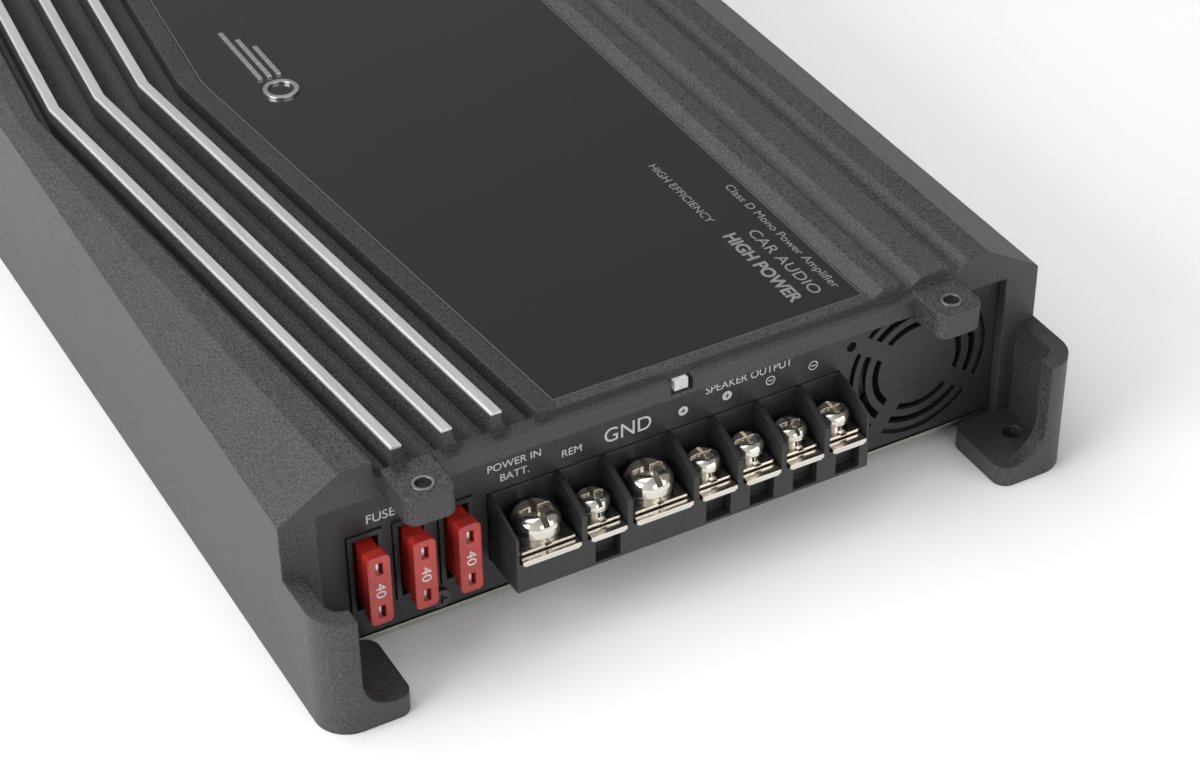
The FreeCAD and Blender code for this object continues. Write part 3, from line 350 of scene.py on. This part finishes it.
def round_mark(name, place, radius, sign):
    """A solid disc with a plus, or a ring with a minus, on the terminal-end panel."""
    steps = 40
    ring_inside = 0.80              # of the radius
    arm_length, arm_width = 0.52, 0.11
    stroke_gap, stroke_step = 0.00002, 0.00001
    x, y, z = place
    rim, inner = [], []
    for i in range(steps):
        turn = 2 * math.pi * i / steps
        for r, loop in ((radius, rim), (radius * ring_inside, inner)):
            loop.append((x + r * math.cos(turn), y, z + r * math.sin(turn)))
    bars = [(radius * arm_length, radius * arm_width)]
    if sign == "plus":
        bars.append((radius * arm_width, radius * arm_length))
        flat_piece(name, [rim], INK)
    else:
        ring = [(rim[i], rim[(i + 1) % steps], inner[(i + 1) % steps], inner[i])
                for i in range(steps)]
        flat_piece(name, ring, INK)
    strokes = [[(x + a * p, y - stroke_gap - stroke_step * k, z + b * q)
                for p, q in ((-1, -1), (1, -1), (1, 1), (-1, 1))]
               for k, (a, b) in enumerate(bars)]
    flat_piece(name + "_sign", strokes, DARK_INK if sign == "plus" else INK)


def outline_strip(name, node_name, width, rise, material):
    """A thin bright line round the top edge of a flat node: a painted highlight for the light that
    the edge catches.
    """
    level_slack, corner_spacing = 0.00005, 0.001
    thing = nodes[node_name]
    points = [thing.matrix_world @ v.co for v in thing.data.vertices]
    top = max(p.z for p in points)
    ring = []
    for p in points:
        if p.z > top - level_slack and all((p - q).length > corner_spacing for q in ring):
            ring.append(p.copy())
    middle = sum(ring, Vector()) / len(ring)
    ring.sort(key=lambda p: math.atan2(p.y - middle.y, p.x - middle.x))
    count = len(ring)
    inside = []
    for i, p in enumerate(ring):
        before, after = ring[i - 1], ring[(i + 1) % count]
        one = Vector((before.y - p.y, p.x - before.x)).normalized()
        two = Vector((p.y - after.y, after.x - p.x)).normalized()
        inward = (one + two) / (1 + one.dot(two)) * width
        inside.append((p.x + inward.x, p.y + inward.y, top + rise))
    outside = [(p.x, p.y, top + rise) for p in ring]
    faces = [(outside[i], outside[(i + 1) % count], inside[(i + 1) % count], inside[i])
             for i in range(count)]
    return flat_piece(name, faces, material)


def middle_of(name):
    low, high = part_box(name)
    return (low + high) / 2


# ------------------------------------------------------------------ terminal end

PANEL_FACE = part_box("front_panel")[0].y - PRINT_GAP
LEGEND_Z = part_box("terminal_block")[1].z + 0.0046
BAY_SHIFT = 0.0019         # a terminal's printed mark stands this far left of its screw


def bay_x(name):
    """The middle of a terminal's printed mark."""
    low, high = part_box("screw_" + name)
    return (low.x + high.x) / 2 - BAY_SHIFT


SPEAKER_MIDDLE = (bay_x("speaker_2") + bay_x("speaker_3")) / 2
TERMINAL_LEGENDS = (  # name, words, size, middle, height over the row, wide
    ("power", "POWER IN", 0.0032, bay_x("battery"), 0.0030, 1.0),
    ("battery", "BATT.", 0.0032, bay_x("battery"), -0.0008, 1.0),
    ("remote", "REM", 0.0032, bay_x("remote"), 0.0, 1.0),
    ("ground", "GND", 0.0062, bay_x("ground"), 0.0006, 1.0),
    ("speaker", "SPEAKER OUTPUT", 0.0034, SPEAKER_MIDDLE, 0.0041, 0.94),
)
for tag, words, size, x, rise, wide in TERMINAL_LEGENDS:
    legend("legend_" + tag, words, size, (x, PANEL_FACE, LEGEND_Z + rise), RIGHT, UP, wide=wide)

SIGN_RADIUS, SIGN_RISE = 0.0014, 0.0004
for spot, sign in (("speaker_1", "plus"), ("speaker_2", "plus"),
                   ("speaker_3", "minus"), ("speaker_4", "minus")):
    round_mark("mark_" + spot, (bay_x(spot), PANEL_FACE, LEGEND_Z + SIGN_RISE), SIGN_RADIUS, sign)

first_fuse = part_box("fuse_body_1")
FUSE_WORD_INSET, FUSE_WORD_RISE = 0.0078, 0.0052
legend("legend_fuse", "FUSE", 0.0038,
       (first_fuse[0].x + FUSE_WORD_INSET, PANEL_FACE, first_fuse[1].z + FUSE_WORD_RISE), RIGHT, UP)

for i in (1, 2, 3):
    low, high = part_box("fuse_body_%d" % i)
    middle = (low + high) / 2
    legend("rating_%d" % i, "40", 0.0037, (middle.x, low.y - PRINT_GAP, middle.z), DOWN, RIGHT,
           INK, "fuse_%d" % i, wide=1.3)


# ------------------------------------------------------------------ control end

REAR_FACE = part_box("rear_panel")[1].y + PRINT_GAP
KNOB_TURN = 140            # degrees each way from straight up
DIAL_MARKS = 11
LONG_MARK_EVERY = 5


def rear_legend(name, words, x, z, size=0.0028):
    legend("legend_" + name, words, size, (x, REAR_FACE, z), LEFT, UP)


def dial_marks(name, centre):
    """Short marks round a knob, from its lowest to its highest setting."""
    inner_end, short_end, long_end, half_width = 0.0050, 0.0058, 0.0064, 0.00014
    step = 2 * KNOB_TURN / (DIAL_MARKS - 1)
    faces = []
    for i in range(DIAL_MARKS):
        turn = math.radians(-KNOB_TURN + step * i)
        out = Vector((-math.sin(turn), 0, math.cos(turn)))
        side = Vector((out.z, 0, -out.x)) * half_width
        base = Vector((centre.x, REAR_FACE, centre.z))
        near = base + out * inner_end
        far = base + out * (long_end if i % LONG_MARK_EVERY == 0 else short_end)
        faces.append([near - side, near + side, far + side, far - side])
    flat_piece("dial_" + name, faces, INK)


KNOB_WORD_RISE = 0.0088
for name, words in (("gain", "GAIN"), ("low_pass", "LPF"), ("bass_boost", "BASS")):
    spot = middle_of("knob_" + name)
    dial_marks(name, spot)
    rear_legend(name, words, spot.x, spot.z + KNOB_WORD_RISE)

SLOT_WORD_RISE, SLOT_WORD_SIZE = 0.0076, 0.0023
SLIDER_TO_SLOT = 0.0018    # from the middle of a slider at rest to the middle of its slot
for name, words, shift in (("phase_slider", "PHASE", SLIDER_TO_SLOT),
                           ("filter_slider", "FILTER", SLIDER_TO_SLOT),
                           ("remote_socket", "REMOTE", 0.0)):
    spot = middle_of(name)
    rear_legend(name, words, spot.x + shift, spot.z + SLOT_WORD_RISE, SLOT_WORD_SIZE)

JACK_RADIUS = 0.0042       # from the edge of the group of jacks to a jack's middle
JACK_WORD_DROP = 0.0030
JACK_WORD_SIZE, SIDE_LETTER_SIZE = 0.0026, 0.0030
jacks_low, jacks_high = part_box("rca_jacks")
jacks_middle = (jacks_low.x + jacks_high.x) / 2
jack_word_z = jacks_low.z - JACK_WORD_DROP
for words, x in (("INPUT", jacks_low.x + JACK_RADIUS), ("PREOUT", jacks_high.x - JACK_RADIUS)):
    rear_legend("jack_" + words.lower(), words, x, jack_word_z, JACK_WORD_SIZE)
for words, z in (("L", jacks_high.z - JACK_RADIUS), ("R", jacks_low.z + JACK_RADIUS)):
    rear_legend("side_" + words.lower(), words, jacks_middle, z, SIDE_LETTER_SIZE)


# ------------------------------------------------------------------ top panel

top_low, top_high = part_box("top_panel")
TOP_PRINT_GAP = 0.00003    # between the titles and the panel under them
TITLE_INSET = 0.0062       # between the titles' last letters and the panel's end
PRINT_Z = top_high.z + TOP_PRINT_GAP
TITLE_END = top_low.y + TITLE_INSET
TITLES = (  # name, words, size, inset from the long edge, distance from the end, bold, wide
    ("class", "Class D Mono Power Amplifier", 0.0035, 0.0040, 0.0, 0.0, 1.24),
    ("series", "CAR AUDIO", 0.0047, 0.0098, 0.0, 0.0, 1.30),
    ("power", "HIGH POWER", 0.0052, 0.0162, 0.0, 0.00016, 1.08),
    ("note", "HIGH EFFICIENCY", 0.0034, 0.0170, 0.0420, 0.0, 1.2),
)
for tag, words, size, inset, start, bold, wide in TITLES:
    legend("title_" + tag, words, size, (top_high.x - inset, TITLE_END + start, PRINT_Z),
           TOWARDS_TERMINALS, RIGHT, SILVER_INK, bold=bold, align="RIGHT", wide=wide)
# A painted highlight strip round the top panel's edge.
outline_strip("panel_painted_edge_highlight", "top_panel", width=0.00035, rise=0.00002, material=PAINTED_EDGE_HIGHLIGHT)


# ------------------------------------------------------------------ stage

def soft_floor():
    reach, floor_gap = 6.0, 0.0002
    level = cad_box[0].z - floor_gap
    mesh = bpy.data.meshes.new("studio_floor")
    bm = bmesh.new()
    bm.faces.new([bm.verts.new((x * reach, y * reach, level))
                  for x, y in ((-1, -1), (1, -1), (1, 1), (-1, 1))])
    bm.to_mesh(mesh)
    bm.free()
    floor = bpy.data.objects.new("studio_floor", mesh)
    bpy.context.scene.collection.objects.link(floor)
    r = Recipe("pale_floor").set(Specular_IOR_Level=0.2)
    mottle = r.noise(6.0, 2.0, 0.4)
    r.colour(mottle, grey(0.79), grey(0.82))
    r.roughness(mottle, 0.6, 0.7)
    mesh.materials.append(r.material)


def soft_light(name, place, target, size, power):
    lamp = bpy.data.lights.new(name, "AREA")
    lamp.shape = "RECTANGLE"
    lamp.size, lamp.size_y = size
    lamp.energy = power
    thing = bpy.data.objects.new(name, lamp)
    bpy.context.scene.collection.objects.link(thing)
    thing.location = place
    aim = Vector(target) - Vector(place)
    thing.rotation_euler = aim.to_track_quat("-Z", "Y").to_euler()


def studio_walls(tree):
    """White behind the object; the walls that light it are bright on the left, dim on the right."""
    white = (1.0, 1.0, 1.0, 1.0)
    dim_side, bright_side = 0.45, -0.75
    dim, bright = 0.30, 0.75
    place = tree.nodes.new("ShaderNodeTexCoord")
    split = tree.nodes.new("ShaderNodeSeparateXYZ")
    tree.links.new(place.outputs["Generated"], split.inputs[0])
    across = tree.nodes.new("ShaderNodeMapRange")
    across.inputs["From Min"].default_value = dim_side
    across.inputs["From Max"].default_value = bright_side
    across.inputs["To Min"].default_value = dim
    across.inputs["To Max"].default_value = bright
    tree.links.new(split.outputs["X"], across.inputs["Value"])
    walls = tree.nodes["Background"]
    walls.inputs["Color"].default_value = white
    tree.links.new(across.outputs["Result"], walls.inputs["Strength"])
    backdrop = tree.nodes.new("ShaderNodeBackground")
    backdrop.inputs["Color"].default_value = white
    seen = tree.nodes.new("ShaderNodeLightPath")
    choose = tree.nodes.new("ShaderNodeMixShader")
    tree.links.new(seen.outputs["Is Camera Ray"], choose.inputs["Fac"])
    tree.links.new(walls.outputs[0], choose.inputs[1])
    tree.links.new(backdrop.outputs[0], choose.inputs[2])
    tree.links.new(choose.outputs[0], tree.nodes["World Output"].inputs["Surface"])


LIGHTS = (  # name, place, target, size, watts
    ("light_left", (-1.6, -0.3, 0.8), (0, -0.05, 0.02), (1.2, 0.8), 27.0),
    ("light_top", (-0.4, 0.45, 1.6), (0, -0.1, 0.05), (1.6, 1.6), 18.0),
    ("light_front", (0.6, -1.6, 0.7), (0, -0.2, 0.03), (1.8, 0.9), 14.0),
)

soft_floor()
world = bpy.data.worlds.new("studio_world")
bpy.context.scene.world = world
world.use_nodes = True
studio_walls(world.node_tree)
for light in LIGHTS:
    soft_light(*light)
bpy.context.scene.view_settings.view_transform = "Standard"


# ------------------------------------------------------------------ camera

# The camera looks down over the fuse corner of the terminal end.
AZIMUTH, ELEVATION, ROLL = math.radians(-28.44), math.radians(37.26), math.radians(-0.72)
CAMERA_PLACE = (-0.28796, -0.67565, 0.48385)
FOCAL_WIDTHS = 2.370       # focal length over sensor width
SENSOR_WIDTH = 36.0        # millimetres

camera_data = bpy.data.cameras.new("camera")
camera_data.sensor_width = SENSOR_WIDTH
camera_data.lens = SENSOR_WIDTH * FOCAL_WIDTHS
camera_data.clip_end = 30.0
camera = bpy.data.objects.new("camera", camera_data)
bpy.context.scene.collection.objects.link(camera)
back = Vector((math.sin(AZIMUTH) * math.cos(ELEVATION), -math.cos(AZIMUTH) * math.cos(ELEVATION),
               math.sin(ELEVATION)))
camera.location = CAMERA_PLACE
camera.rotation_mode = "QUATERNION"
looking = (-back).to_track_quat("-Z", "Y")
camera.rotation_quaternion = looking @ Matrix.Rotation(ROLL, 3, "Z").to_quaternion()
bpy.context.scene.camera = camera

bpy.context.view_layer.update()
